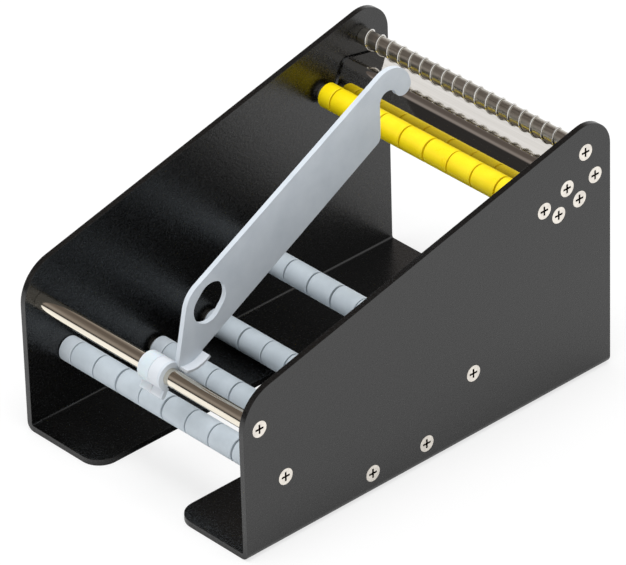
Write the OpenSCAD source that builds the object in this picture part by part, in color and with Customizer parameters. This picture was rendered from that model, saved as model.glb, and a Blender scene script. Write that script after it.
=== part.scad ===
// Desktop label dispenser: two bent side plates joined by eleven cross rods.
// A roll of labels lies on four rows of loose sleeves, its web runs over the
// yellow roller and bends sharply round the peel plate at the back.
// Origin: middle of the footprint, on the table. X across, Y to the back, Z up.

/* [Side plates] */
// Distance over the outer faces of the two side plates
frame_width = 144; // [110:1:220]
// Length of the side plates from front to back
frame_depth = 218; // [200:1:260]
// Sheet thickness of the side plates
plate_wall = 3; // [2:0.25:4]
// Height at which the sloping top edge would meet the front edge
front_height = 80.2; // [76:0.1:100]
// Rise of the top edge towards the back, in degrees
top_slope = 13.9; // [11:0.1:18]
// Radius of the top corner at the front
front_corner_r = 20; // [8:0.5:24]
// Radius of the top corner at the back
back_corner_r = 15; // [8:0.5:18]
// Width of the foot flange, over the plate
flange_width = 47; // [30:1:50]
// Radius of the two free corners of each flange
flange_corner_r = 10; // [4:0.5:16]
// Inside radius of the bend between plate and flange
bend_r = 1; // [0.5:0.5:5]

/* [Screws] */
// Diameter of the screw shanks
screw_d = 4; // [3:0.1:4.5]
// Diameter of the countersunk heads
head_d = 8; // [7:0.1:9]
// Length of a screw, over the head
screw_len = 12; // [8:0.5:16]
// Clearance of a screw's shank in its plate
hole_gap = 0.2; // [0.1:0.05:0.4]
// Depth of the tapped holes in the rod ends
tapped_len = 14; // [12:0.5:20]
// Width of the slots of the cross recess
recess_width = 1; // [0.6:0.1:1.4]
// Span of the cross recess
recess_span = 4.6; // [3:0.1:5.2]
// Depth of the cross recess
recess_depth = 1.3; // [0.8:0.1:1.6]

/* [Bars] */
// Diameter of the front bar, the spring bar and the roller rods
bar_d = 8; // [7:0.1:9]
// Front bar, distance of its axis behind the front edge
front_bar_back = 9.2; // [8:0.1:14]
// Front bar, height of its axis
front_bar_z = 64.2; // [58:0.1:66]
// Spring bar, distance of its axis from the back edge
spring_bar_in = 15.1; // [13:0.1:18]
// Spring bar, depth of its axis below the top of the back edge line
spring_bar_drop = 17.6; // [16.6:0.1:18.6]
// Diameter of the spring wire
wire_d = 1; // [0.8:0.1:1.2]
// Distance from one turn of the spring to the next
spring_pitch = 7; // [5:0.5:12]

/* [Rollers] */
// Outer diameter of the sleeves
sleeve_d = 12; // [11:0.1:13]
// Distance from one sleeve to the next
sleeve_pitch = 15; // [10:0.5:20]
// Width of the seam between two sleeves
seam = 0.3; // [0.2:0.05:0.5]
// Length of a stop ring at an end of the sleeves
stop_len = 7.2; // [3:0.1:10]
// Free rod at the left of grey roller 1
roller_1_gap = 0.3; // [0.2:0.1:5]
// Free rod at the left of grey roller 2
roller_2_gap = 2.1; // [0.2:0.1:5]
// Free rod at the left of grey roller 3
roller_3_gap = 2.4; // [0.2:0.1:5]
// Free rod at the left of grey roller 4
roller_4_gap = 2.8; // [0.2:0.1:5]
// Free rod at the left of the yellow roller
yellow_gap = 2.8; // [0.2:0.1:5]
// Bevel of the sleeve ends
sleeve_edge = 0.25; // [0.2:0.05:0.6]
// Grey roller 1, distance of its axis behind the front edge
roller_1_back = 23.1; // [22:0.1:30]
// Grey roller 1, height of its axis
roller_1_z = 33.3; // [26:0.1:40]
// Grey roller 2, distance of its axis behind the front edge
roller_2_back = 73.4; // [60:0.1:80]
// Grey roller 2, height of its axis
roller_2_z = 10.5; // [10:0.1:16]
// Grey roller 3, distance of its axis behind the front edge
roller_3_back = 105.5; // [96:0.1:112]
// Grey roller 3, height of its axis
roller_3_z = 10.6; // [10:0.1:16]
// Grey roller 4, distance of its axis behind the front edge
roller_4_back = 134; // [126:0.1:138]
// Grey roller 4, height of its axis
roller_4_z = 33.8; // [26:0.1:40]
// Yellow roller, distance of its axis from the back edge
yellow_in = 40.3; // [40:0.1:44]
// Yellow roller, depth of its axis below the top of the back edge line
yellow_drop = 36.5; // [34:0.1:38]

/* [Peel plate] */
// Diameter of the rods inside and behind the peel plate
rod_d = 6; // [5:0.1:6.4]
// Sheet thickness of the peel plate
peel_wall = 1; // [0.6:0.1:1.2]
// Gap between the peel plate and each side plate
peel_side_gap = 1; // [0.5:0.1:3]
// Slope of the top of the peel plate towards the back, in degrees
peel_slope = 10.8; // [9:0.1:13]
// Inside radius of the bend at the ridge
ridge_r = 3; // [2:0.1:3]
// Length of the lip below the peeling edge
lip_len = 4; // [2:0.1:5]
// Lower rod, distance of its axis from the back edge
low_rod_in = 31.6; // [31:0.1:32.4]
// Lower rod, depth of its axis below the top of the back edge line
low_rod_drop = 42.5; // [42:0.1:44]
// Front rod, distance of its axis from the back edge
front_rod_in = 26.4; // [25.6:0.1:27]
// Front rod, depth of its axis below the top of the back edge line
front_rod_drop = 31.2; // [30.4:0.1:32]
// Edge rod, distance of its axis from the back edge
edge_rod_in = 9.3; // [9:0.1:11]
// Edge rod, depth of its axis below the top of the back edge line
edge_rod_drop = 31.6; // [31:0.1:33]
// Backing guide rod, distance of its axis from the back edge
guide_rod_in = 18.9; // [17:0.1:20]
// Backing guide rod, depth of its axis below the top of the back edge line
guide_rod_drop = 39.8; // [39:0.1:44]

/* [Guide arm] */
// Angle of the guide arm above the level, in degrees
arm_angle = 28; // [12:1:80]
// Thickness of the arm
arm_wall = 2.5; // [1.5:0.1:4]
// Distance from the front bar to the upper edge of the arm, across the arm
arm_upper = 26.9; // [25:0.1:30]
// Distance from the front bar to the lower edge at the foot, across the arm
arm_lower = 2.7; // [1:0.1:3.4]
// Rise of the lower edge along the arm, in degrees
arm_taper = 0.9; // [0:0.1:3]
// Angle of the front edge of the foot against the arm, in degrees
foot_angle = 50.3; // [46:0.1:56]
// How far the line of the foot's front edge passes behind the front bar's axis
foot_behind = 2.8; // [2:0.1:3.5]
// Radius of the corner between foot and upper edge
shoulder_r = 13.5; // [6:0.5:16]
// Radius of the round ends of the finger hole
hole_r = 7.9; // [6:0.1:9]
// Distance between the middles of the finger hole's ends
hole_stretch = 4.2; // [0.5:0.1:5]
// Turn of the finger hole against the arm, in degrees
hole_turn = 20; // [0:1:45]
// Finger hole, distance along the arm
hole_along = 33.2; // [32:0.1:38]
// Finger hole, distance across the arm
hole_across = 14; // [13:0.1:14.5]
// How far the middle of the hook stops short of the yellow roller's axis
hook_short = 16.8; // [16:0.1:24]
// Outer radius of the hook
hook_r = 12.3; // [11:0.1:13]
// Radius of the notch inside the hook
notch_r = 5; // [4:0.1:6]
// Notch, distance of its middle towards the foot from the hook's middle
notch_back = 2.4; // [1:0.1:3]
// Notch, distance of its middle below the hook's middle
notch_down = 2; // [1.2:0.1:2.6]
// Direction of the hook's round tip from the hook's middle, in degrees
tip_angle = -21.6; // [-35:0.1:-10]
// Angle of the side of the notch's mouth against the arm, in degrees
mouth_angle = 62; // [55:1:75]
// Radius of the corner between mouth and lower edge
mouth_corner_r = 4; // [2:0.5:6]

/* [Arm clip] */
// Outer radius of the barrel
barrel_r = 6.7; // [6:0.1:7.4]
// Length of the barrel, over its two halves
barrel_len = 14.2; // [12:0.1:20]
// How far the arm stands out past the barrel
arm_past = 1.3; // [0.5:0.1:2]
// Place of the barrel's left end, right of the middle
barrel_x = 1.4; // [-20:0.1:30]
// Gap between the two halves of the barrel
barrel_gap = 0.2; // [0.15:0.05:0.4]
// Angle of the middle of the snap-in mouth, in degrees
snap_angle = -70; // [-90:1:-55]
// Angle that the snap-in mouth spans, in degrees
snap_span = 84; // [60:1:96]
// Length of the lead-in lip, from its root in the barrel
lead_len = 4.4; // [3:0.1:5]
// Thickness of the lead-in lip
lead_wall = 2.2; // [1.6:0.1:2.6]
// Direction of the lead-in lip, in degrees
lead_angle = -126; // [-135:1:-118]
// Width of the thumb rest beside the arm
rest_width = 4.6; // [3:0.1:8]
// Thickness of the thumb rest
rest_wall = 1.3; // [1.2:0.1:2.4]
// Radius of the thumb rest's upper face
rest_r = 14; // [12:0.5:16]
// Thumb rest, distance of its centre along the arm
rest_along = 15.9; // [15:0.1:17]
// Thumb rest, distance of its centre across the arm
rest_across = 10.8; // [10:0.1:11.6]

/* [Fits] */
// Clearance round a piece that turns or slides
run_gap = 0.05; // [0.02:0.01:0.1]
// Clearance round a piece that is fixed
fix_gap = 0.03; // [0.01:0.01:0.06]
// How far a cut reaches past the face it opens
over = 1; // [0.5:0.5:2]

/* [Hidden] */
$fn = 96;

// Places seen from the side are [distance from the middle, height]
inner_width = frame_width - 2 * plate_wall;
front_y = -frame_depth / 2;
back_y = frame_depth / 2;
back_height = front_height + frame_depth * tan(top_slope);
front_bar_at = [front_y + front_bar_back, front_bar_z];
spring_bar_at = [back_y - spring_bar_in, back_height - spring_bar_drop];
roller_1_at = [front_y + roller_1_back, roller_1_z];
roller_2_at = [front_y + roller_2_back, roller_2_z];
roller_3_at = [front_y + roller_3_back, roller_3_z];
roller_4_at = [front_y + roller_4_back, roller_4_z];
yellow_at = [back_y - yellow_in, back_height - yellow_drop];
low_rod_at = [back_y - low_rod_in, back_height - low_rod_drop];
front_rod_at = [back_y - front_rod_in, back_height - front_rod_drop];
edge_rod_at = [back_y - edge_rod_in, back_height - edge_rod_drop];
guide_rod_at = [back_y - guide_rod_in, back_height - guide_rod_drop];
all_rods = [
    front_bar_at, spring_bar_at, roller_1_at, roller_2_at, roller_3_at, roller_4_at,
    yellow_at, low_rod_at, front_rod_at, edge_rod_at, guide_rod_at
];

// Colours
plate_black = "#1c1d20";
steel = "#b9bcc0";
chrome = "#d8dadd";
sleeve_grey = "#c3cbd2";
ring_grey = "#dadfe3";
yellow = "#f3e100";
arm_grey = "#aeb4bd";
clip_grey = "#d5dce2";

// Plane geometry

function unit(v) = v / norm(v);
function ray(angle) = [cos(angle), sin(angle)];
function left_of(v) = [-v[1], v[0]];
// Crossing point of the line through p along v with the line through q along w
function meet(p, v, q, w) = p + v * cross(q - p, w) / cross(v, w);

// Points of an arc about a centre, from one angle to another
function arc(centre, r, from_angle, to_angle) =
    let (steps = ceil(abs(to_angle - from_angle) / arc_step))
        [
            for (i = [0:steps])
                centre + r * ray(from_angle + (to_angle - from_angle) * i / steps)
        ];
// Largest turn from one point of an arc to the next, in degrees
arc_step = 4;

// Outline with straight edges whose convex corners are round; a radius of 0 stays sharp
module rounded_outline(points, radii) {
    count = len(points);
    to_last = [for (i = [0:count - 1]) unit(points[(i + count - 1) % count] - points[i])];
    to_next = [for (i = [0:count - 1]) unit(points[(i + 1) % count] - points[i])];
    half = [for (i = [0:count - 1]) acos(to_last[i] * to_next[i]) / 2];
    polygon([
        for (i = [0:count - 1])
            each radii[i] == 0
                ? [points[i]]
                : [points[i] + to_last[i] * radii[i] / tan(half[i]),
                   points[i] + to_next[i] * radii[i] / tan(half[i])]
    ]);
    for (i = [0:count - 1])
        if (radii[i] > 0)
            translate(points[i] + unit(to_last[i] + to_next[i]) * radii[i] / sin(half[i]))
                circle(radii[i]);
}

// Turns a side view outline into a solid that reaches from x to x + width
module across(x, width) {
    translate([x, 0, 0])
        rotate([90, 0, 90])
            linear_extrude(width) children();
}

// Puts what is drawn along the X axis on the axis of a rod
module on_axis(at) {
    translate([0, at[0], at[1]]) children();
}

module x_cylinder(r, x, length) {
    translate([x, 0, 0])
        rotate([0, 90, 0])
            cylinder(h = length, r = r);
}

module x_cone(r_left, r_right, x, length) {
    translate([x, 0, 0])
        rotate([0, 90, 0])
            cylinder(h = length, r1 = r_left, r2 = r_right);
}

// Side plates and screws

head_depth = (head_d - screw_d) / 2;
screw_r = screw_d / 2;

module plate_section() {
    outer_r = bend_r + plate_wall;
    high = back_height;
    difference() {
        bent_corner(flange_width, high, outer_r);
        translate([plate_wall, plate_wall]) bent_corner(flange_width, high, bend_r);
    }
}

// Rectangle whose lower left corner is round
module bent_corner(width, high, r) {
    rounded_outline([[0, 0], [width, 0], [width, high], [0, high]], [r, 0, 0, 0]);
}

module plate_side_view() {
    rounded_outline(
        [[front_y, 0], [back_y, 0], [back_y, back_height], [front_y, front_height]],
        [0, 0, back_corner_r, front_corner_r]
    );
}

module plate_top_view() {
    outer_x = -frame_width / 2;
    inner_x = outer_x + flange_width;
    rounded_outline(
        [[outer_x, front_y], [inner_x, front_y], [inner_x, back_y], [outer_x, back_y]],
        [0, flange_corner_r, flange_corner_r, 0]
    );
}

// Clearance hole and countersink for one screw, at the left plate
module screw_hole() {
    outer_x = -frame_width / 2;
    x_cylinder(screw_r + hole_gap, outer_x - over, plate_wall + 2 * over);
    x_cone(head_d / 2 + fix_gap, screw_r + fix_gap, outer_x, head_depth);
}

module left_plate_shape() {
    difference() {
        intersection() {
            translate([-frame_width / 2, back_y, 0])
                rotate([90, 0, 0])
                    linear_extrude(frame_depth) plate_section();
            across(-frame_width / 2, flange_width) plate_side_view();
            linear_extrude(back_height) plate_top_view();
        }
        for (at = all_rods)
            on_axis(at) screw_hole();
    }
}

module left_side_plate() {
    color(plate_black) left_plate_shape();
}

module right_side_plate() {
    color(plate_black) mirror([1, 0, 0]) left_plate_shape();
}

// Countersunk screw with a cross recess, in the left plate
module screw() {
    outer_x = -frame_width / 2;
    difference() {
        union() {
            x_cone(head_d / 2, screw_r, outer_x, head_depth);
            x_cylinder(screw_r, outer_x + head_depth, screw_len - head_depth);
        }
        for (turn = [0, 90])
            rotate([turn, 0, 0])
                translate([outer_x + recess_depth / 2 - over / 2, 0, 0])
                    cube([recess_depth + over, recess_span, recess_width], center = true);
    }
}

module left_screws() {
    color(chrome)
        for (at = all_rods)
            on_axis(at) screw();
}

module right_screws() {
    color(chrome) mirror([1, 0, 0])
        for (at = all_rods)
            on_axis(at) screw();
}

// Cross rods

// Plain rod between the plates with a tapped hole in each end
module cross_rod(at, diameter) {
    on_axis(at)
        difference() {
            x_cylinder(diameter / 2, -inner_width / 2, inner_width);
            x_cylinder(screw_r + fix_gap, -inner_width / 2 - over, tapped_len + over);
            x_cylinder(screw_r + fix_gap, inner_width / 2 - tapped_len, tapped_len + over);
        }
}

module front_bar() {
    color(chrome) cross_rod(front_bar_at, bar_d);
}

module spring_bar() {
    color(steel) cross_rod(spring_bar_at, bar_d);
}

module roller_1_rod() {
    color(steel) cross_rod(roller_1_at, bar_d);
}

module roller_2_rod() {
    color(steel) cross_rod(roller_2_at, bar_d);
}

module roller_3_rod() {
    color(steel) cross_rod(roller_3_at, bar_d);
}

module roller_4_rod() {
    color(steel) cross_rod(roller_4_at, bar_d);
}

module yellow_roller_rod() {
    color(steel) cross_rod(yellow_at, bar_d);
}

module peel_low_rod() {
    color(steel) cross_rod(low_rod_at, rod_d);
}

module peel_front_rod() {
    color(steel) cross_rod(front_rod_at, rod_d);
}

module peel_edge_rod() {
    color(steel) cross_rod(edge_rod_at, rod_d);
}

module backing_guide_rod() {
    color(steel) cross_rod(guide_rod_at, rod_d);
}

// Spring on the spring bar: one wire, wound as a helix round the bar, whose
// ends turn parallel to the bar and stand square on the side plates

wire_sides = 6;
rings_per_turn = 8;
wire_r = wire_d / 2;
// The flats of the wire and of the helix come this much closer than their corners
wire_flat_r = wire_r * cos(180 / wire_sides);
coil_r = (bar_d / 2 + fix_gap + wire_flat_r) / cos(180 / rings_per_turn);
coil_round = 2 * PI * coil_r;
climb_angle = atan(spring_pitch / coil_round);
end_bend_r = 2 * wire_d;
end_steps = 4;
end_straight = wire_d;
// On the unrolled bar a place on the wire is [length along the bar, way round the bar]
end_path = [
    [0, 0],
    [end_straight, 0],
    for (i = [1:end_steps])
        let (turned = (90 - climb_angle) * i / end_steps)
            [end_straight + end_bend_r * sin(turned), end_bend_r * (1 - cos(turned))]
];
end_reach = end_path[len(end_path) - 1];
coil_len = inner_width - 2 * end_reach[0];
coil_turns = coil_len / spring_pitch;
coil_steps = round(coil_turns * rings_per_turn);
wire_path = concat(
    end_path,
    [for (i = [1:coil_steps - 1]) end_reach + [coil_len, coil_turns * coil_round] * i / coil_steps],
    [
        for (i = [len(end_path) - 1:-1:0])
            [inner_width, 2 * end_reach[1] + coil_turns * coil_round] - end_path[i]
    ]
);

// Place in space of an unrolled point, round the bar's own axis
function wrap(p) =
    let (angle = p[1] / coil_round * 360)
        [p[0] - inner_width / 2, coil_r * cos(angle), coil_r * sin(angle)];

function ring_of(i) =
    let (
        last = len(wire_path) - 1,
        before = wire_path[max(i - 1, 0)],
        after = wire_path[min(i + 1, last)],
        way = i == 0 || i == last ? [1, 0] : unit(after - before),
        angle = wire_path[i][1] / coil_round * 360,
        out = [0, cos(angle), sin(angle)],
        round_bar = [0, -sin(angle), cos(angle)],
        side = [-way[1], 0, 0] + way[0] * round_bar
    )
        [
            for (k = [0:wire_sides - 1])
                let (a = 360 * (k + 0.5) / wire_sides)
                    wrap(wire_path[i]) + wire_r * (cos(a) * out + sin(a) * side)
        ];

ring_count = len(wire_path);
wire_points = [for (i = [0:ring_count - 1]) each ring_of(i)];
wire_faces = concat(
    [for (k = [1:wire_sides - 2]) [0, k, k + 1]],
    [
        for (i = [0:ring_count - 2])
            for (k = [0:wire_sides - 1])
                let (
                    a = i * wire_sides + k,
                    b = i * wire_sides + (k + 1) % wire_sides,
                    c = a + wire_sides,
                    d = b + wire_sides
                )
                    each [[a, c, b], [b, c, d]]
    ],
    [
        for (k = [1:wire_sides - 2])
            let (first = (ring_count - 1) * wire_sides)
                [first, first + k + 1, first + k]
    ]
);
// Smallest distance between two stretches of wire that are half a turn or more apart
wire_gap = min([
    for (i = [0:ring_count - 1 - rings_per_turn / 2])
        for (j = [i + rings_per_turn / 2:min(i + 2 * rings_per_turn, ring_count - 1)])
            norm(wrap(wire_path[i]) - wrap(wire_path[j])) - wire_d
]);
echo(smallest_gap_between_turns = wire_gap, turns = coil_turns);

module bar_spring() {
    color(chrome)
        on_axis(spring_bar_at)
            polyhedron(wire_points, wire_faces);
}

// Rollers: loose sleeves on a fixed rod, held between two stop rings

// As many whole sleeves as fit between the plates beside the widest gap
widest_gap = max(roller_1_gap, roller_2_gap, roller_3_gap, roller_4_gap, yellow_gap);
sleeve_count = floor((inner_width - widest_gap - 2 * (stop_len + seam)) / sleeve_pitch);
stack_len = sleeve_count * sleeve_pitch;

// Tube along X whose outer ends are bevelled
module tube_piece(r_in, r_out, x, length, edge) {
    translate([x, 0, 0])
        rotate([0, 90, 0])
            rotate_extrude()
                polygon([
                    [r_in, 0], [r_out - edge, 0], [r_out, edge],
                    [r_out, length - edge], [r_out - edge, length], [r_in, length]
                ]);
}

module sleeves(at, gap) {
    stack_x = gap + stop_len + seam - inner_width / 2;
    on_axis(at)
        for (i = [0:sleeve_count - 1])
            tube_piece(
                bar_d / 2 + run_gap, sleeve_d / 2,
                stack_x + i * sleeve_pitch + seam / 2, sleeve_pitch - seam, sleeve_edge
            );
}

module stop_rings(at, gap) {
    left_x = gap - inner_width / 2;
    on_axis(at)
        for (x = [left_x, left_x + stop_len + 2 * seam + stack_len])
            tube_piece(bar_d / 2 + fix_gap, sleeve_d / 2, x, stop_len, sleeve_edge);
}

module roller_1_sleeves() {
    color(sleeve_grey) sleeves(roller_1_at, roller_1_gap);
}

module roller_2_sleeves() {
    color(sleeve_grey) sleeves(roller_2_at, roller_2_gap);
}

module roller_3_sleeves() {
    color(sleeve_grey) sleeves(roller_3_at, roller_3_gap);
}

module roller_4_sleeves() {
    color(sleeve_grey) sleeves(roller_4_at, roller_4_gap);
}

module yellow_sleeves() {
    color(yellow) sleeves(yellow_at, yellow_gap);
}

module roller_1_stop_rings() {
    color(ring_grey) stop_rings(roller_1_at, roller_1_gap);
}

module roller_2_stop_rings() {
    color(ring_grey) stop_rings(roller_2_at, roller_2_gap);
}

module roller_3_stop_rings() {
    color(ring_grey) stop_rings(roller_3_at, roller_3_gap);
}

module roller_4_stop_rings() {
    color(ring_grey) stop_rings(roller_4_at, roller_4_gap);
}

module yellow_stop_rings() {
    color(yellow) stop_rings(yellow_at, yellow_gap);
}

// Peel plate: one bent sheet, hooked under the lower rod, up past the front
// rod to the ridge, down over the edge rod and round it to a short lip

wrap_r = rod_d / 2 + fix_gap;
wrap_outer_r = wrap_r + peel_wall;
ridge_outer_r = ridge_r + peel_wall;
wall_way = unit(front_rod_at - low_rod_at);
wall_out = left_of(wall_way);
top_way = ray(-peel_slope);
top_out = left_of(top_way);
ridge_at = meet(
    low_rod_at + wall_out * (wrap_r - ridge_r), wall_way,
    edge_rod_at + top_out * (wrap_r - ridge_r), top_way
);
wall_out_angle = atan2(wall_out[1], wall_out[0]);
top_out_angle = 90 - peel_slope;
// The sheet goes this far round the lower rod and the edge rod, in degrees
hook_turn = 100;
edge_turn = 170;
lip_angle = top_out_angle - edge_turn;

// One face of the sheet, from the hook to the lip; depth is 0 on the outer face
function peel_face(depth) =
    concat(
        arc(low_rod_at, wrap_outer_r - depth, wall_out_angle + hook_turn, wall_out_angle),
        arc(ridge_at, ridge_outer_r - depth, wall_out_angle, top_out_angle),
        arc(edge_rod_at, wrap_outer_r - depth, top_out_angle, lip_angle),
        [edge_rod_at + (wrap_outer_r - depth) * ray(lip_angle) + lip_len * ray(lip_angle - 90)]
    );

module peel_plate() {
    inner_face = peel_face(peel_wall);
    color(chrome)
        across(-inner_width / 2 + peel_side_gap, inner_width - 2 * peel_side_gap)
            polygon(concat(
                peel_face(0),
                [for (i = [len(inner_face) - 1:-1:0]) inner_face[i]]
            ));
}

// Guide arm and its clip, drawn along the arm from the front bar's axis

bore_r = bar_d / 2 + run_gap;
half_barrel = (barrel_len - barrel_gap) / 2;
arm_x = barrel_x + barrel_len + arm_past - arm_wall;
hook_at = [norm(yellow_at - front_bar_at) - hook_short, arm_upper - hook_r];
hook_shift = [notch_back, notch_down];
notch_at = hook_at - hook_shift;
hole_at = [hole_along, hole_across];
rest_at = [rest_along, rest_across];
rest_outer_r = rest_r + rest_wall;
// The thumb rest runs between these two angles about its centre
rest_from = -136;
rest_to = -81;
// The tip is a circle inside the hook's, as far out as the notch's circle allows
tip_way = ray(tip_angle);
tip_r = (norm(hook_shift + hook_r * tip_way) ^ 2 - notch_r ^ 2)
    / (hook_shift * tip_way + hook_r + notch_r) / 2;
tip_at = hook_at + (hook_r - tip_r) * tip_way;
tip_to_notch = notch_at - tip_at;
tip_end_angle = atan2(tip_to_notch[1], tip_to_notch[0]) - 360;

// Outline of the arm: up the foot, along the upper edge, round the hook and
// its tip, through the notch, and back along the lower edge to the heel
foot_way = ray(foot_angle);
foot_line = -left_of(foot_way) * foot_behind;
barrel_mid_r = (barrel_r + bore_r) / 2;
foot_root = foot_line + foot_way * sqrt(barrel_mid_r ^ 2 - foot_behind ^ 2);
shoulder_at = meet(
    foot_line - left_of(foot_way) * shoulder_r, foot_way,
    [0, arm_upper - shoulder_r], [1, 0]
);
lower_way = ray(arm_taper);
lower_start = [rest_along, -arm_lower];
mouth_way = ray(mouth_angle);
mouth_start = notch_at + left_of(mouth_way) * notch_r;
mouth_corner_at = meet(
    mouth_start + left_of(mouth_way) * mouth_corner_r, mouth_way,
    lower_start + left_of(lower_way) * mouth_corner_r, lower_way
);
// The heel runs inside the thumb rest, half way through its thickness and
// half an arc step short of both of its ends
heel_edge = arc(
    rest_at, rest_r + rest_wall / 2,
    rest_to - arc_step / 2, rest_from + arc_step / 2
);
arm_points = concat(
    [foot_root],
    arc(shoulder_at, shoulder_r, foot_angle + 90, 90),
    arc(hook_at, hook_r, 90, tip_angle),
    arc(tip_at, tip_r, tip_angle, tip_end_angle),
    arc(notch_at, notch_r, tip_end_angle + 180, mouth_angle + 90),
    arc(mouth_corner_at, mouth_corner_r, mouth_angle - 90, arm_taper - 90),
    [lower_start + lower_way * rest_wall * 2],
    heel_edge
);

// Oval finger hole: two half circles joined by straights
hole_end = ray(hole_turn) * hole_stretch / 2;
hole_points = concat(
    arc(hole_at + hole_end, hole_r, hole_turn - 90, hole_turn + 90),
    arc(hole_at - hole_end, hole_r, hole_turn + 90, hole_turn + 270)
);

module arm_plate() {
    across(arm_x, arm_wall)
        difference() {
            polygon(arm_points);
            polygon(hole_points);
        }
}

// Curved lip that stands out from the arm along its heel
module thumb_rest() {
    across(arm_x, arm_wall + rest_width)
        polygon(concat(
            arc(rest_at, rest_outer_r, rest_to, rest_from),
            arc(rest_at, rest_r, rest_from, rest_to)
        ));
}

// Half of the snap-in barrel without its bore, at the angle that it has on the machine
module half_of_barrel(x) {
    lead_root = ray(snap_angle - snap_span / 2) * barrel_mid_r;
    lead_tip = lead_root + ray(lead_angle) * lead_len;
    lead_side = left_of(ray(lead_angle)) * lead_wall / 2;
    across(x, half_barrel)
        difference() {
            circle(barrel_r);
            polygon([
                [0, 0],
                2 * barrel_r * ray(snap_angle - snap_span / 2),
                2 * barrel_r * ray(snap_angle),
                2 * barrel_r * ray(snap_angle + snap_span / 2)
            ]);
        }
    across(x, half_barrel)
        polygon([
            lead_root + lead_side, lead_tip + lead_side,
            lead_tip - lead_side, lead_root - lead_side
        ]);
    on_axis(lead_tip) x_cylinder(lead_wall / 2, x, half_barrel);
}

module bar_bore(x, length) {
    x_cylinder(bore_r, x - over, length + 2 * over);
}

module bar_clip() {
    color(clip_grey)
        on_axis(front_bar_at)
            difference() {
                union() half_of_barrel(barrel_x);
                bar_bore(barrel_x, half_barrel);
            }
}

module guide_arm() {
    collar_x = barrel_x + barrel_len - half_barrel;
    color(arm_grey)
        on_axis(front_bar_at)
            difference() {
                union() {
                    half_of_barrel(collar_x);
                    rotate([arm_angle, 0, 0]) arm_plate();
                    rotate([arm_angle, 0, 0]) thumb_rest();
                }
                bar_bore(collar_x, half_barrel + arm_past);
            }
}

left_side_plate();
right_side_plate();
left_screws();
right_screws();
front_bar();
spring_bar();
bar_spring();
roller_1_rod();
roller_2_rod();
roller_3_rod();
roller_4_rod();
yellow_roller_rod();
roller_1_sleeves();
roller_2_sleeves();
roller_3_sleeves();
roller_4_sleeves();
yellow_sleeves();
roller_1_stop_rings();
roller_2_stop_rings();
roller_3_stop_rings();
roller_4_stop_rings();
yellow_stop_rings();
peel_plate();
peel_low_rod();
peel_front_rod();
peel_edge_rod();
backing_guide_rod();
bar_clip();
guide_arm();
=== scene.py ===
# %% [markdown]
# # A desk label dispenser
# Two black side plates, bent from sheet, are held apart by eleven cross rods. Rows of
# loose plastic sleeves turn on the rods, a clip with a long guide arm sits on the front
# bar, and a mirror-bright bent plate peels the labels off their backing at the back.
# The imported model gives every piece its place, so this file only adds what a solid
# can't show: rounded edges, a round spring wire, and the finish of each surface.

import math
import random

import bmesh
import bpy
from mathutils import Matrix, Vector


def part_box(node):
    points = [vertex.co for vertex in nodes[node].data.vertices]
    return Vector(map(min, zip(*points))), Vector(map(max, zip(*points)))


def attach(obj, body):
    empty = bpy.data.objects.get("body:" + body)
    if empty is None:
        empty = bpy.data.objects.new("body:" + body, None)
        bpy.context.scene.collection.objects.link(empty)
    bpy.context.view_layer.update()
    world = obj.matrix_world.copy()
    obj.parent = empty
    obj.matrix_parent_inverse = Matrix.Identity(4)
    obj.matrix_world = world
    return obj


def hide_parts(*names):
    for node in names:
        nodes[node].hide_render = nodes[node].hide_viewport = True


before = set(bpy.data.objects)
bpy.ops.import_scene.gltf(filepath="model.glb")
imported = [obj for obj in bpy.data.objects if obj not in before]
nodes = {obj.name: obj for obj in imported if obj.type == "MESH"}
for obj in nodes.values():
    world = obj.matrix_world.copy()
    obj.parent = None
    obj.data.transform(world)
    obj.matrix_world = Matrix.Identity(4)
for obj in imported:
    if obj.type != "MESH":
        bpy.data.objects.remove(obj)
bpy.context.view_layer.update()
MM = 0.001

# %% [markdown]
# ## The camera
# A product photograph is taken with a long lens from some distance, so that upright
# edges stay nearly parallel. The view direction comes from two angles, as for a globe,
# and the small roll turns the picture about the line of sight. The photograph's middle
# isn't quite on the lens's axis, and the camera's shift takes up the difference.

# %% Place the camera
PHOTO_WIDTH = 626
PHOTO_MIDDLE = (313, 282.5)
LENS_AXIS = (323.605, 283.058)
FOCAL_PIXELS = 6446.84
SENSOR_WIDTH = 36
AZIMUTH = math.radians(48.02)
ELEVATION = math.radians(32.80)
ROLL = math.radians(-1.65)
# How far the camera stands aside, below and away, in widths of the machine
MACHINE_WIDTH = 144 * MM
ASIDE, BELOW, AWAY = -0.0088, -0.345, 19.8052

toward = Vector((
    math.sin(AZIMUTH) * math.cos(ELEVATION),
    -math.cos(AZIMUTH) * math.cos(ELEVATION),
    math.sin(ELEVATION),
))
level = (-toward).cross(Vector((0, 0, 1))).normalized()
upright = level.cross(-toward)
right = level * math.cos(ROLL) + upright * math.sin(ROLL)
up = upright * math.cos(ROLL) - level * math.sin(ROLL)

lens = bpy.data.cameras.new("camera")
lens.sensor_width = SENSOR_WIDTH
lens.lens = SENSOR_WIDTH * FOCAL_PIXELS / PHOTO_WIDTH
lens.shift_x = (PHOTO_MIDDLE[0] - LENS_AXIS[0]) / PHOTO_WIDTH
lens.shift_y = (LENS_AXIS[1] - PHOTO_MIDDLE[1]) / PHOTO_WIDTH
lens.clip_start, lens.clip_end = 0.1, 100
camera = bpy.data.objects.new("camera", lens)
bpy.context.scene.collection.objects.link(camera)
camera_place = (right * -ASIDE + up * -BELOW + toward * AWAY) * MACHINE_WIDTH
turn = Matrix((right, up, toward)).transposed().to_4x4()
camera.matrix_world = Matrix.Translation(camera_place) @ turn
bpy.context.scene.camera = camera
print("camera at", [round(v, 3) for v in camera_place], "lens", round(lens.lens, 1))

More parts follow.
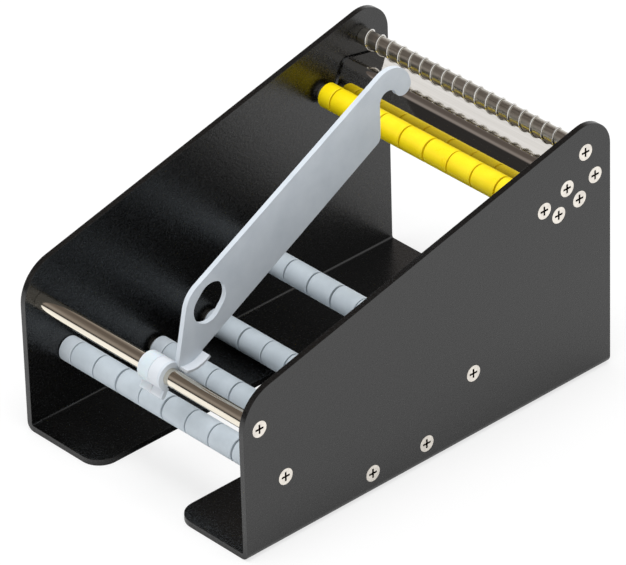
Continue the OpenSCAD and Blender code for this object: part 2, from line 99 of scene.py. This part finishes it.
# %% [markdown]
# ## Nodes for the finishes
# A material is a small tree of nodes. These helpers keep the lines that build one
# short: each adds a node, joins it to what feeds it, and gives back its output. The
# patterns that several finishes share are node groups, built once.

# %% Helpers for node trees
def add_node(tree, kind, **settings):
    """A new node; a setting names an input, or else an attribute of the node."""
    made = tree.nodes.new(kind)
    for key, value in settings.items():
        name = key.replace("_", " ")
        if name in made.inputs:
            made.inputs[name].default_value = value
        else:
            setattr(made, key, value)
    return made


def feed(tree, socket, value):
    """Joins a socket to an output, or sets it to a plain number or colour."""
    if isinstance(value, bpy.types.NodeSocket):
        tree.links.new(value, socket)
    elif isinstance(value, tuple):
        socket.default_value = (*value, 1)
    else:
        socket.default_value = value


def calculated(tree, operation, *values):
    """One step of arithmetic."""
    made = add_node(tree, "ShaderNodeMath", operation=operation)
    for socket, value in zip(made.inputs, values):
        feed(tree, socket, value)
    return made.outputs[0]


def spread(tree, value, low, high, start=0.0, end=1.0, kind="LINEAR"):
    """Maps a value from low..high to start..end, and keeps it within these ends."""
    made = add_node(tree, "ShaderNodeMapRange", interpolation_type=kind)
    titles = ("Value", "From Min", "From Max", "To Min", "To Max")
    for title, number in zip(titles, (value, low, high, start, end)):
        feed(tree, made.inputs[title], number)
    return made.outputs["Result"]


def blend(tree, factor, first, second):
    """Mixes two colours."""
    made = add_node(tree, "ShaderNodeMix", data_type="RGBA")
    feed(tree, made.inputs[0], factor)
    colours = [socket for socket in made.inputs if socket.type == "RGBA"]
    feed(tree, colours[0], first)
    feed(tree, colours[1], second)
    return [socket for socket in made.outputs if socket.type == "RGBA"][0]


def new_group(name, inputs, outputs):
    """A node group with float inputs (name, value) and float outputs."""
    group = bpy.data.node_groups.new(name, "ShaderNodeTree")
    for title, value in inputs:
        socket = group.interface.new_socket(title, in_out="INPUT", socket_type="NodeSocketFloat")
        socket.default_value = value
    for title in outputs:
        group.interface.new_socket(title, in_out="OUTPUT", socket_type="NodeSocketFloat")
    return group, group.nodes.new("NodeGroupInput"), group.nodes.new("NodeGroupOutput")


# %% [markdown]
# ### Orange peel, scratches and clouds
# Powder paint melts into a skin with fine pimples, called orange peel. Drawn and
# polished bars have fine lines along their length. Moulded plastic has a soft, cloudy
# change of tone. Each of the three is one noise at its own scale and stretch, and it
# puts out a mask for colour and gloss, and a height for the bump.

# %% Build the shared patterns
def noise_group(name, scale, stretch, detail):
    """Noise on the machine's coordinates, as a mask from 0 to 1 and a height."""
    group, inside, outside = new_group(
        name, [("Scale", scale), ("Low", 0.3), ("High", 0.7)], ["Mask", "Height"]
    )
    mapping = add_node(group, "ShaderNodeMapping", Scale=stretch)
    feed(group, mapping.inputs["Vector"], add_node(group, "ShaderNodeTexCoord").outputs["Object"])
    noise = add_node(group, "ShaderNodeTexNoise", Detail=detail, Roughness=0.6)
    feed(group, noise.inputs["Vector"], mapping.outputs["Vector"])
    feed(group, noise.inputs["Scale"], inside.outputs["Scale"])
    height = noise.outputs["Fac"]
    mask = spread(group, height, inside.outputs["Low"], inside.outputs["High"])
    feed(group, outside.inputs["Mask"], mask)
    feed(group, outside.inputs["Height"], height)
    return group


orange_peel = noise_group("orange peel", 1500, (1, 1, 1), 2)
fine_lines = noise_group("fine lines", 900, (0.02, 1, 1), 3)
clouds = noise_group("clouds", 60, (1, 1, 1), 4)
print("patterns:", [group.name for group in (orange_peel, fine_lines, clouds)])

# %% [markdown]
# ### One recipe for every finish
# All surfaces here are a base colour with a little variation, a gloss that varies the
# same way, and a fine bump. So one function builds each finish from its own numbers.
# The colours are written as they look on screen, from 0 to 255, and turned into the
# light values that a shader takes.

# %% A finish from a pattern
def screen(*levels):
    """Light values of a colour that is given in screen levels."""
    return tuple(((v / 255 + 0.055) / 1.055) ** 2.4 if v > 10 else v / 255 / 12.92 for v in levels)


def finish(name, dark, light, gloss, pattern, scale, bump=0.1, depth=0.02, metal=0.0, **constants):
    """A material whose colour runs from dark to light, and roughness over gloss."""
    made = bpy.data.materials.new(name)
    made.use_nodes = True
    tree = made.node_tree
    surface = tree.nodes["Principled BSDF"]
    surface.inputs["Metallic"].default_value = metal
    for key, value in constants.items():
        surface.inputs[key.replace("_", " ")].default_value = value
    source = add_node(tree, "ShaderNodeGroup", node_tree=pattern)
    source.inputs["Scale"].default_value = scale
    mask = source.outputs["Mask"]
    feed(tree, surface.inputs["Base Color"], blend(tree, mask, dark, light))
    feed(tree, surface.inputs["Roughness"], spread(tree, mask, 0.0, 1.0, *gloss))
    relief = add_node(tree, "ShaderNodeBump", Strength=bump, Distance=depth * MM)
    feed(tree, relief.inputs["Height"], source.outputs["Height"])
    feed(tree, surface.inputs["Normal"], relief.outputs["Normal"])
    return made


# %% [markdown]
# ### The finishes themselves
# The paint is nearly black and semi-gloss, so what it shows is mostly the white room.
# The bars, the wire, the screws and the peel plate are bare metal and mirror it, each
# with its own gloss. The plastics are duller, and cloudy rather than scratched.

# %% Name the finishes
powder_paint = finish(
    "black powder paint", screen(5, 5, 5), screen(10, 10, 10), (0.22, 0.32),
    orange_peel, 850, bump=0.8, depth=0.07, Specular_IOR_Level=0.58,
)
nickel = finish(
    "nickel plate", screen(214, 208, 200), screen(240, 234, 224), (0.16, 0.28),
    clouds, 300, bump=0.05, metal=1.0,
)
chrome_bar = finish(
    "polished bar", screen(222, 214, 198), screen(238, 231, 216), (0.05, 0.14),
    fine_lines, 1400, bump=0.12, depth=0.01, metal=1.0,
)
drawn_steel = finish(
    "drawn steel", screen(176, 172, 163), screen(212, 207, 197), (0.24, 0.42),
    fine_lines, 1200, bump=0.35, depth=0.03, metal=1.0,
)
spring_wire = finish(
    "spring wire", screen(214, 212, 208), screen(236, 234, 230), (0.12, 0.22),
    clouds, 400, bump=0.05, metal=1.0,
)
mirror_sheet = finish(
    "mirror polished sheet", screen(208, 204, 198), screen(220, 216, 211), (0.03, 0.07),
    fine_lines, 500, bump=0.03, depth=0.01, metal=1.0,
)
grey_plastic = finish(
    "blue-grey plastic", screen(186, 196, 204), screen(198, 208, 216), (0.38, 0.52),
    clouds, 120, bump=0.12, depth=0.05,
)
pale_plastic = finish(
    "pale grey plastic", screen(190, 199, 207), screen(206, 214, 221), (0.36, 0.5),
    clouds, 120, bump=0.12, depth=0.05,
)
yellow_plastic = finish(
    "yellow plastic", screen(249, 219, 8), screen(254, 230, 20), (0.26, 0.38),
    clouds, 120, bump=0.1, depth=0.05,
)
# the arm's base colour is a darker grey, painted shade for its plate
arm_plastic_with_painted_shade = finish(
    "light grey plastic with painted shade", screen(192, 200, 208), screen(204, 211, 218), (0.34, 0.46),
    clouds, 70, bump=0.12, depth=0.05,
)
clip_plastic = finish(
    "milky plastic", screen(202, 207, 213), screen(212, 217, 222), (0.3, 0.42),
    clouds, 90, bump=0.12, depth=0.05, Subsurface_Weight=0.15,
)
print("finishes:", len(bpy.data.materials))

# %% [markdown]
# ### Two finishes with painted shade
# The cross in a screw head is painted dark, as painted shade in the recess. The arm is one
# light grey plastic, and its plate is painted a darker grey, as painted shade, because its
# face lies in shade, while its barrel and its thumb rest are as pale as the clip.
# Both changes lie at a known distance along X: the floor of the recess is further in than
# the head's face, and the plate of the arm is thinner than the pieces beside it. So one
# group tells inside from outside by the distance from a middle.

# %% Tone the recesses, the barrel and the thumb rest, for painted shade
def distance_group(softness):
    """Masks for inside and outside a distance along X from a middle."""
    group, inside, outside = new_group(
        "distance along X", [("Middle", 0.0), ("Edge", 0.01)], ["Inside", "Outside"]
    )
    parts = add_node(group, "ShaderNodeSeparateXYZ")
    feed(group, parts.inputs["Vector"], add_node(group, "ShaderNodeTexCoord").outputs["Object"])
    offset = calculated(group, "SUBTRACT", parts.outputs["X"], inside.outputs["Middle"])
    past_edge = calculated(
        group, "SUBTRACT", calculated(group, "ABSOLUTE", offset), inside.outputs["Edge"]
    )
    beyond = spread(group, past_edge, -softness, softness)
    feed(group, outside.inputs["Outside"], beyond)
    feed(group, outside.inputs["Inside"], calculated(group, "SUBTRACT", 1.0, beyond))
    return group


def add_tone(material, side, middle, edge, tone):
    """Blends a second tone into a finish, on one side of the edge."""
    tree = material.node_tree
    colour = tree.nodes["Principled BSDF"].inputs["Base Color"]
    masks = add_node(tree, "ShaderNodeGroup", node_tree=distance_along_x)
    masks.inputs["Middle"].default_value = middle
    masks.inputs["Edge"].default_value = edge
    feed(tree, colour, blend(tree, masks.outputs[side], colour.links[0].from_socket, tone))


distance_along_x = distance_group(0.1 * MM)
HEAD_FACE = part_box("right_screws")[1].x
RECESS_EDGE = 0.22 * MM
ARM_MIDDLE = 15.65 * MM
ARM_HALF_WALL = 1.25 * MM
# painted shade: the recess of each screw head is darker than the head's face
add_tone(nickel, "Inside", 0.0, HEAD_FACE - RECESS_EDGE, screen(84, 76, 68))
# painted shade: the arm's plate keeps the darker grey, the barrel and thumb rest get the pale grey
add_tone(arm_plastic_with_painted_shade, "Outside", ARM_MIDDLE, ARM_HALF_WALL + 0.3 * MM, screen(208, 213, 219))
print("screw heads and arm plate at", round(HEAD_FACE / MM, 2), round(ARM_MIDDLE / MM, 2), "mm")

# %% [markdown]
# ## Solids with rounded edges
# A solid from CAD has knife-sharp edges, and real sheet, plastic and machined steel
# never do: a narrow rounding catches the light, and this line is what the eye reads as
# a real edge. A copy of the CAD mesh is merged, its flat faces are joined, and a Bevel
# modifier rounds what is sharp. Weighted normals keep the flat faces flat beside it.

# %% Dress a CAD piece
def finish_edges(piece, width, steps=3, angle=30):
    """Rounds the sharp edges of a piece, and shades its curves smooth."""
    for face in piece.data.polygons:
        face.use_smooth = True
    piece.data.set_sharp_from_angle(angle=math.radians(angle))
    if width:
        rounding = piece.modifiers.new("rounded edges", "BEVEL")
        rounding.width = width * MM
        rounding.segments = steps
        rounding.limit_method = "ANGLE"
        rounding.angle_limit = math.radians(angle)
    even = piece.modifiers.new("even shading", "WEIGHTED_NORMAL")
    even.keep_sharp = not width


def new_piece(name, shape, body, stands_for, material):
    """An object from a bmesh, riding on its body and standing for CAD nodes."""
    mesh = bpy.data.meshes.new(name)
    shape.to_mesh(mesh)
    shape.free()
    mesh.materials.clear()
    mesh.materials.append(material)
    piece = bpy.data.objects.new(name, mesh)
    bpy.context.scene.collection.objects.link(piece)
    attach(piece, body)
    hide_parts(*stands_for)
    print(name, len(mesh.polygons), "faces")
    return piece


def dressed(node, body, material, width, steps=3):
    """A merged copy of a CAD node with rounded edges and a finish."""
    source = nodes[node].data.copy()
    if "custom_normal" in source.attributes:
        source.attributes.remove(source.attributes["custom_normal"])
    shape = bmesh.new()
    shape.from_mesh(source)
    bpy.data.meshes.remove(source)
    bmesh.ops.remove_doubles(shape, verts=shape.verts, dist=0.0005 * MM)
    bmesh.ops.dissolve_limit(
        shape, angle_limit=math.radians(0.2), verts=shape.verts, edges=shape.edges
    )
    bmesh.ops.recalc_face_normals(shape, faces=shape.faces)
    piece = new_piece(node + "_finished", shape, body, [node], material)
    finish_edges(piece, width, steps)
    return piece


# %% [markdown]
# ## Side plates and screws
# The plates are cut from 3 mm sheet and bent, then powder coated, and the paint draws
# back a little from every edge. The screws are countersunk and lie flush in the paint.

# %% Make the plates and screws
for side in ("left", "right"):
    dressed(side + "_side_plate", "frame", powder_paint, 0.5)
    dressed(side + "_screws", "frame", nickel, 0.12, 2)

# %% [markdown]
# ## Bars and rods
# Every cross rod is a turned bar, cut square. The front bar is polished, the others
# show the fine lines of drawing.

# %% Make the bars and rods
dressed("front_bar", "frame", chrome_bar, 0.2)
for rod in (
    "spring_bar", "roller_1_rod", "roller_2_rod", "roller_3_rod", "roller_4_rod",
    "yellow_roller_rod", "peel_low_rod", "peel_front_rod", "peel_edge_rod",
    "backing_guide_rod",
):
    dressed(rod, "frame", drawn_steel, 0.2)

# %% [markdown]
# ## A sleeve
# A sleeve is a plain moulded tube. Its section is drawn once as four corners, rounded,
# and spun about the rod. Spinning gives clean quads that shade smooth.

# %% Turn a tube
SLEEVE_RADIUS = 6 * MM
BORE_RADIUS = 4.05 * MM
SLEEVE_ROUNDING = 0.4 * MM


def node_centre(node):
    """The middle of a CAD node in the side view, as Y and Z."""
    low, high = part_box(node)
    return (low.y + high.y) / 2, (low.z + high.z) / 2


def tube(shape, start, length, centre):
    """A tube along X with rounded ends, turned about a centre in the side view."""
    corners = [
        shape.verts.new((x, centre[0], centre[1] + r))
        for x, r in (
            (start, BORE_RADIUS), (start, SLEEVE_RADIUS),
            (start + length, SLEEVE_RADIUS), (start + length, BORE_RADIUS),
        )
    ]
    for i in range(4):
        shape.edges.new((corners[i], corners[i - 1]))
    bmesh.ops.bevel(
        shape, geom=corners, offset=SLEEVE_ROUNDING, segments=3, profile=0.5,
        affect="VERTICES", material=-1, offset_type="OFFSET", clamp_overlap=True,
    )
    section = [edge for edge in shape.edges if not edge.link_faces]
    bmesh.ops.spin(
        shape, geom=section, cent=(start, centre[0], centre[1]), axis=(1, 0, 0),
        angle=math.tau, steps=72, use_merge=True, use_duplicate=False,
    )


# %% [markdown]
# ## Rows of sleeves and their stop rings
# A row is loose on its rod, so its seams are thin, dark and not quite even. Each sleeve
# is made a little shorter than its share of the row, and a seeded chance moves it
# within that play. A short ring at each end is fixed and keeps the row off the plates.

# %% Fill the rods
SLEEVE_PITCH = 15 * MM
SEAM = 0.3 * MM
SHORTER = 0.5 * MM
RING_LENGTH = 7.2 * MM

rows = [
    (f"roller_{i}", f"roller_{i}_sleeves", "grey_sleeve", grey_plastic,
     f"roller_{i}_stop_rings", "pale_ring", pale_plastic)
    for i in range(1, 5)
]
rows.append((
    "yellow_roller", "yellow_sleeves", "yellow_sleeve", yellow_plastic,
    "yellow_stop_rings", "yellow_sleeve", yellow_plastic,
))

chance = random.Random(7)
for body, sleeves, surface, material, rings, ring_surface, ring_material in rows:
    centre = node_centre(sleeves)
    low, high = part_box(sleeves)
    shape = bmesh.new()
    for i in range(round((high.x - low.x) / SLEEVE_PITCH)):
        play = SHORTER * chance.random()
        tube(shape, low.x + i * SLEEVE_PITCH + play, SLEEVE_PITCH - SEAM - SHORTER, centre)
    bmesh.ops.recalc_face_normals(shape, faces=shape.faces)
    finish_edges(new_piece(body + "_row", shape, body, [sleeves], material), 0)

    low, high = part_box(rings)
    shape = bmesh.new()
    for start in (low.x, high.x - RING_LENGTH):
        tube(shape, start, RING_LENGTH, centre)
    bmesh.ops.recalc_face_normals(shape, faces=shape.faces)
    finish_edges(
        new_piece(body + "_end_rings", shape, "frame", [rings], ring_material), 0
    )

# %% [markdown]
# ## The path of the spring
# A single bright wire winds round the bar from plate to plate, and each end turns
# parallel to the bar and stands on the plate. The path is drawn flat first, as if the
# bar's skin were unrolled: an end, a straight climb for the helix, and the other end.

# %% Draw the unrolled path
WIRE_RADIUS = 0.38 * MM
BAR_RADIUS = 4 * MM
COIL_RADIUS = BAR_RADIUS + WIRE_RADIUS + 0.03 * MM
COIL_PITCH = 7 * MM
END_BEND = 2 * MM
END_STRAIGHT = 1 * MM
BEND_STEPS = 8
POINTS_PER_TURN = 28

spring_low, spring_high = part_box("spring_bar")
spring_length = spring_high.x - spring_low.x
round_length = math.tau * COIL_RADIUS
climb = math.atan2(COIL_PITCH, round_length)
bend = [(math.pi / 2 - climb) * i / BEND_STEPS for i in range(BEND_STEPS + 1)]
end_path = [Vector((0, 0))] + [
    Vector((END_STRAIGHT + END_BEND * math.sin(a), END_BEND * (1 - math.cos(a)))) for a in bend
]
coil_length = spring_length - 2 * end_path[-1].x
turns = coil_length / COIL_PITCH
coil_steps = round(turns * POINTS_PER_TURN)
coil_way = Vector((coil_length, turns * round_length))
far_end = Vector((spring_length, 2 * end_path[-1].y + coil_way.y))
unrolled = (
    end_path
    + [end_path[-1] + coil_way * i / coil_steps for i in range(1, coil_steps)]
    + [far_end - p for p in reversed(end_path)]
)
print("turns", round(turns, 2), "points", len(unrolled))

# %% [markdown]
# ## The spring itself
# The flat path is rolled round the bar, point by point, into a curve. The curve's round
# bevel gives the wire its thickness, and it is then turned into a mesh.

# %% Wind the spring
spring_centre = node_centre("spring_bar")
wire = bpy.data.curves.new("wire", "CURVE")
wire.dimensions = "3D"
wire.bevel_depth = WIRE_RADIUS
wire.bevel_resolution = 3
wire.use_fill_caps = True
line = wire.splines.new("POLY")
line.points.add(len(unrolled) - 1)
for point, (along, way_round) in zip(line.points, unrolled):
    angle = way_round / COIL_RADIUS
    point.co = (
        spring_low.x + along,
        spring_centre[0] + COIL_RADIUS * math.cos(angle),
        spring_centre[1] + COIL_RADIUS * math.sin(angle),
        1,
    )
wire_object = bpy.data.objects.new("wire", wire)
bpy.context.scene.collection.objects.link(wire_object)
wound = bpy.data.meshes.new_from_object(
    wire_object.evaluated_get(bpy.context.evaluated_depsgraph_get())
)
bpy.data.objects.remove(wire_object)
shape = bmesh.new()
shape.from_mesh(wound)
bmesh.ops.remove_doubles(shape, verts=shape.verts, dist=0.001 * MM)
bmesh.ops.recalc_face_normals(shape, faces=shape.faces)
finish_edges(
    new_piece("wound_spring", shape, "frame", ["bar_spring"], spring_wire),
    0, angle=60,
)

# %% [markdown]
# ## The peel plate
# The labels come off where their backing turns sharply round this mirror-bright sheet.
# Seen from the side it is a line of straights and bends, so a point is spun round each
# bend in turn, the line is pulled across the machine, and Solidify gives it thickness.

# %% Helpers for side views
def stroke_line(shape, last, point):
    """An edge from the last point to a place in the side view."""
    made = shape.verts.new((last.co.x, point[0], point[1]))
    shape.edges.new((last, made))
    return made


def stroke_arc(shape, last, centre, degrees, step=3):
    """Spins the last point about a centre, positive from Y towards Z."""
    made = bmesh.ops.spin(
        shape, geom=[last], cent=(last.co.x, centre[0], centre[1]), axis=(1, 0, 0),
        angle=math.radians(degrees), steps=max(1, math.ceil(abs(degrees) / step)),
        use_merge=False, use_duplicate=False,
    )
    return [v for v in made["geom_last"] if isinstance(v, bmesh.types.BMVert)][0]


def ray(degrees):
    """A direction in the side view, turned from Y towards Z."""
    return Vector((math.cos(math.radians(degrees)), math.sin(math.radians(degrees))))


def meet(p, v, q, w):
    """Where the line through p along v crosses the line through q along w."""
    return p + v * ((q - p).cross(w) / v.cross(w))


# %% [markdown]
# ## Where the peel plate bends
# The sheet hooks under the lower rod, goes up past the front rod to the ridge, down
# over the edge rod and round it to a short lip. The ridge lies where the two straights
# meet, each set off from its rods by the difference between the two bend radii.

# %% Find the bends
WRAP_RADIUS = 4.03 * MM
RIDGE_RADIUS = 4 * MM
TOP_SLOPE = 10.8
HOOK_TURN = 100
EDGE_TURN = 170

low_rod, front_rod, edge_rod = (
    Vector(node_centre(n)) for n in ("peel_low_rod", "peel_front_rod", "peel_edge_rod")
)
wall_way = (front_rod - low_rod).normalized()
wall_out = Vector((-wall_way.y, wall_way.x))
wall_angle = math.degrees(math.atan2(wall_out.y, wall_out.x))
top_angle = 90 - TOP_SLOPE
lip_angle = top_angle - EDGE_TURN
ridge = meet(
    low_rod + wall_out * (WRAP_RADIUS - RIDGE_RADIUS), wall_way,
    edge_rod + ray(top_angle) * (WRAP_RADIUS - RIDGE_RADIUS), ray(top_angle - 90),
)
print("ridge at", [round(v / MM, 2) for v in ridge], "mm")

# %% [markdown]
# ## Bending the peel plate
# The line starts at the hook and follows the bends. After the pull, the top straight is
# looked up, because it tells which way the faces point: Solidify grows the wall on
# their back, so the mirror side has to be the front.

# %% Bend the peel plate
SHEET = 1 * MM
LIP = 4 * MM
peel_low, peel_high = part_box("peel_plate")
shape = bmesh.new()
first = low_rod + ray(wall_angle + HOOK_TURN) * WRAP_RADIUS
last = shape.verts.new((peel_low.x, first.x, first.y))
last = stroke_arc(shape, last, low_rod, -HOOK_TURN)
last = stroke_line(shape, last, ridge + ray(wall_angle) * RIDGE_RADIUS)
last = stroke_arc(shape, last, ridge, top_angle - wall_angle)
last = stroke_line(shape, last, edge_rod + ray(top_angle) * WRAP_RADIUS)
last = stroke_arc(shape, last, edge_rod, -EDGE_TURN)
lip_end = edge_rod + ray(lip_angle) * WRAP_RADIUS + ray(lip_angle - 90) * LIP
stroke_line(shape, last, lip_end)
pulled = bmesh.ops.extrude_edge_only(shape, edges=shape.edges[:])
bmesh.ops.translate(
    shape, vec=(peel_high.x - peel_low.x, 0, 0),
    verts=[v for v in pulled["geom"] if isinstance(v, bmesh.types.BMVert)],
)
top_middle = (ridge + edge_rod) / 2 + ray(top_angle) * WRAP_RADIUS
top_face = min(
    shape.faces, key=lambda face: (face.calc_center_median().yz - top_middle).length
)
if top_face.normal.z < 0:
    bmesh.ops.reverse_faces(shape, faces=shape.faces)
peel = new_piece(
    "bent_peel_plate", shape, "frame", ["peel_plate"], mirror_sheet
)
thick = peel.modifiers.new("sheet thickness", "SOLIDIFY")
thick.thickness = SHEET
thick.offset = -1
thick.use_even_offset = True
finish_edges(peel, 0.12, 2, angle=40)

# %% [markdown]
# ## The guide arm and its clip
# The arm keeps a roll of labels upright. It is one moulding of light grey plastic that
# snaps on the front bar, so it can be slid along and turned up for loading. Moulded
# edges are a little rounder than cut ones.

# %% Dress the arm and the clip
dressed("bar_clip", "clip", clip_plastic, 0.3)
dressed("guide_arm", "arm", arm_plastic_with_painted_shade, 0.3)

# %% [markdown]
# ## Who sees the room
# The picture was taken on white paper, in a studio that isn't white all round. Light
# Path tells rays apart. The camera sees plain white, mirror rays see the studio, and
# the rays that light the machine get one even, plain level.

# %% Helpers for the room
def sees_room(tree, mirrored=1.0):
    """1 for camera and glass rays, mirrored for mirror rays, 0 for rays of light."""
    path = add_node(tree, "ShaderNodeLightPath").outputs
    glossy = calculated(tree, "MULTIPLY", path["Is Glossy Ray"], mirrored)
    seen = calculated(tree, "MAXIMUM", path["Is Camera Ray"], glossy)
    return calculated(tree, "MAXIMUM", seen, path["Is Transmission Ray"])


def in_mirrors(tree, elsewhere, mirrored):
    """One colour for mirror rays, and another for all other rays."""
    path = add_node(tree, "ShaderNodeLightPath").outputs
    return blend(tree, path["Is Glossy Ray"], elsewhere, mirrored)


def ramp(tree, value, ends, start=0.0, end=1.0):
    """A soft step from start to end, between two ends of a value."""
    return spread(tree, value, *ends, start, end, kind="SMOOTHSTEP")


# %% [markdown]
# ## The studio
# What the bars and the peel plate mirror tells what stood round the machine. The paper
# sweeps up white behind it, and a large bright side stands at the right. Elsewhere the
# room is nearly black at the horizon, warm grey half-way up and darker overhead, which
# gives the bars their dark bands. Each change is a soft step along one direction.

# %% Paint the studio
ROOM_LIGHT = 0.8
WHITE = (1, 1, 1)
HORIZON, HALF_WAY, OVERHEAD = (0.02, 0.02, 0.02), (0.32, 0.285, 0.265), (0.14, 0.118, 0.105)
SWEEP_WAY = (-0.743, 0.669, 0)

world = bpy.data.worlds.new("studio")
bpy.context.scene.world = world
world.use_nodes = True
tree = world.node_tree
background = tree.nodes["Background"]
view_way = add_node(tree, "ShaderNodeTexCoord").outputs["Generated"]
parts = add_node(tree, "ShaderNodeSeparateXYZ")
feed(tree, parts.inputs["Vector"], view_way)
height = parts.outputs["Z"]
gloom = blend(tree, ramp(tree, height, (0.06, 0.4)), HORIZON, HALF_WAY)
gloom = blend(tree, ramp(tree, height, (0.5, 0.76)), gloom, OVERHEAD)

facing = add_node(tree, "ShaderNodeVectorMath", operation="DOT_PRODUCT")
feed(tree, facing.inputs[0], view_way)
facing.inputs[1].default_value = SWEEP_WAY
sweep = calculated(
    tree, "MULTIPLY",
    ramp(tree, facing.outputs["Value"], (0.1, 0.4)), ramp(tree, height, (0.33, 0.42), 1.0, 0.0),
)
bright_side = ramp(tree, parts.outputs["X"], (-0.1, 0.35))
studio = blend(tree, calculated(tree, "MAXIMUM", sweep, bright_side), gloom, WHITE)
feed(tree, background.inputs["Color"], in_mirrors(tree, WHITE, studio))
feed(tree, background.inputs["Strength"], spread(tree, sees_room(tree), 0.0, 1.0, ROOM_LIGHT, 1.0))
print("studio nodes:", len(tree.nodes))

# %% [markdown]
# ## The paper floor
# The paper takes the machine's shadow, and part of what the camera sees of it is its own
# plain white, so it meets the background without an edge. The paper between the two
# plates gets little light, and the left plate's glossy inside mirrors just this part.
# So in mirror rays the paper carries a painted shadow: dark under the machine, turning
# white beside it.

# %% Finish the paper
FLOOR_GLOW = 0.7
PAPER = (0.9, 0.9, 0.9)
PAINTED_SHADOW_UNDER_MACHINE = (0.04, 0.04, 0.04)

paper = bpy.data.materials.new("white paper floor")
paper.use_nodes = True
tree = paper.node_tree
surface = tree.nodes["Principled BSDF"]
surface.inputs["Roughness"].default_value = 0.9
surface.inputs["Specular IOR Level"].default_value = 0.0
parts = add_node(tree, "ShaderNodeSeparateXYZ")
feed(tree, parts.inputs["Vector"], add_node(tree, "ShaderNodeTexCoord").outputs["Object"])
across, along = (
    ramp(tree, calculated(tree, "ABSOLUTE", parts.outputs[axis]), ends)
    for axis, ends in (("X", (0.058, 0.072)), ("Y", (0.08, 0.12)))
)
beside = calculated(tree, "MAXIMUM", across, along)
# painted shadow on the paper under the machine, seen in mirror rays only
shaded = blend(tree, beside, PAINTED_SHADOW_UNDER_MACHINE, PAPER)
feed(tree, surface.inputs["Base Color"], in_mirrors(tree, PAPER, shaded))
glow = add_node(tree, "ShaderNodeEmission", Strength=1.0)
shaded_glow = blend(tree, beside, PAINTED_SHADOW_UNDER_MACHINE, WHITE)
feed(tree, glow.inputs["Color"], in_mirrors(tree, WHITE, shaded_glow))
blended = add_node(tree, "ShaderNodeMixShader")
share = spread(tree, sees_room(tree, mirrored=0.1), 0.0, 1.0, 0.0, FLOOR_GLOW)
feed(tree, blended.inputs["Fac"], share)
feed(tree, blended.inputs[1], surface.outputs["BSDF"])
feed(tree, blended.inputs[2], glow.outputs["Emission"])
feed(tree, tree.nodes["Material Output"].inputs["Surface"], blended.outputs["Shader"])
print("paper nodes:", len(tree.nodes))

# %% [markdown]
# ## Laying the floor
# One large square is enough for the floor, which isn't part of the
# machine.

# %% Lay the floor
shape = bmesh.new()
bmesh.ops.create_grid(shape, x_segments=1, y_segments=1, size=4)
ground = bpy.data.meshes.new("floor")
shape.to_mesh(ground)
shape.free()
ground.materials.append(paper)
floor = bpy.data.objects.new("floor", ground)
bpy.context.scene.collection.objects.link(floor)
print("floor faces:", len(ground.polygons))

# %% [markdown]
# ## The lamp
# One large square lamp hangs high above the front and gives the machine its soft shadow.
# It is hidden from mirror rays, so the bars show the studio and not a square.

# %% Hang the lamp
LAMP_PLACE = Vector((0.1, -0.15, 1.4))
LAMP_AIM = Vector((0, 0, 0.07))

light = bpy.data.lights.new("key lamp", "AREA")
light.size, light.energy = 0.8, 12
key_lamp = bpy.data.objects.new("key lamp", light)
bpy.context.scene.collection.objects.link(key_lamp)
key_lamp.location = LAMP_PLACE
key_lamp.rotation_mode = "QUATERNION"
key_lamp.rotation_quaternion = (LAMP_PLACE - LAMP_AIM).to_track_quat("Z", "Y")
key_lamp.visible_glossy = False
bpy.context.scene.view_settings.view_transform = "Standard"
print("lamp at", [round(v, 2) for v in key_lamp.location])
